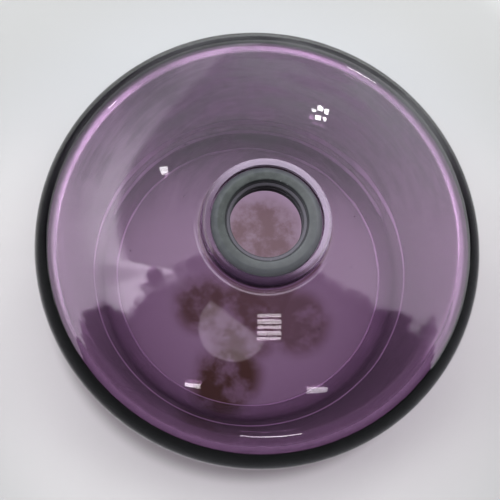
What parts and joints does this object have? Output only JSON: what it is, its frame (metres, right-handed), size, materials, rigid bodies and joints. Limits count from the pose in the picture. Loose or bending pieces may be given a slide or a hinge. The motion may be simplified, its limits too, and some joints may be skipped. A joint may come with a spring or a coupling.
{
  "type": "bowl feed-through insulator",
  "caption": "Amethyst glass bell insulator on an open in-turned foot, with a collared neck and a removable flanged bushing sunk in its lip and bored for a rod.",
  "frame": {"origin": "on the bore's axis, at the centre of the foot's bottom face", "axes": "+Z along the bore's axis, from the foot to the neck; the part is round about Z, so +X and +Y are free"},
  "size_m": [0.1142, 0.1142, 0.065],
  "materials": {
    "amethyst_glass": "fire-polished, clear amethyst",
    "gasket_rubber": "matt black",
    "bushing_ebonite": "weathered grey-green hard rubber, satin"
  },
  "bodies": {
    "bowl": {"glass_bowl": "amethyst_glass", "lip_gasket": "gasket_rubber"},
    "bushing": {"neck_bushing": "bushing_ebonite"}
  },
  "joints": [
    {"name": "bushing_lift", "type": "slide", "parent": "bowl", "child": "bushing", "axis": [0, 0, 1], "range_m": [0, 0.02]}
  ]
}
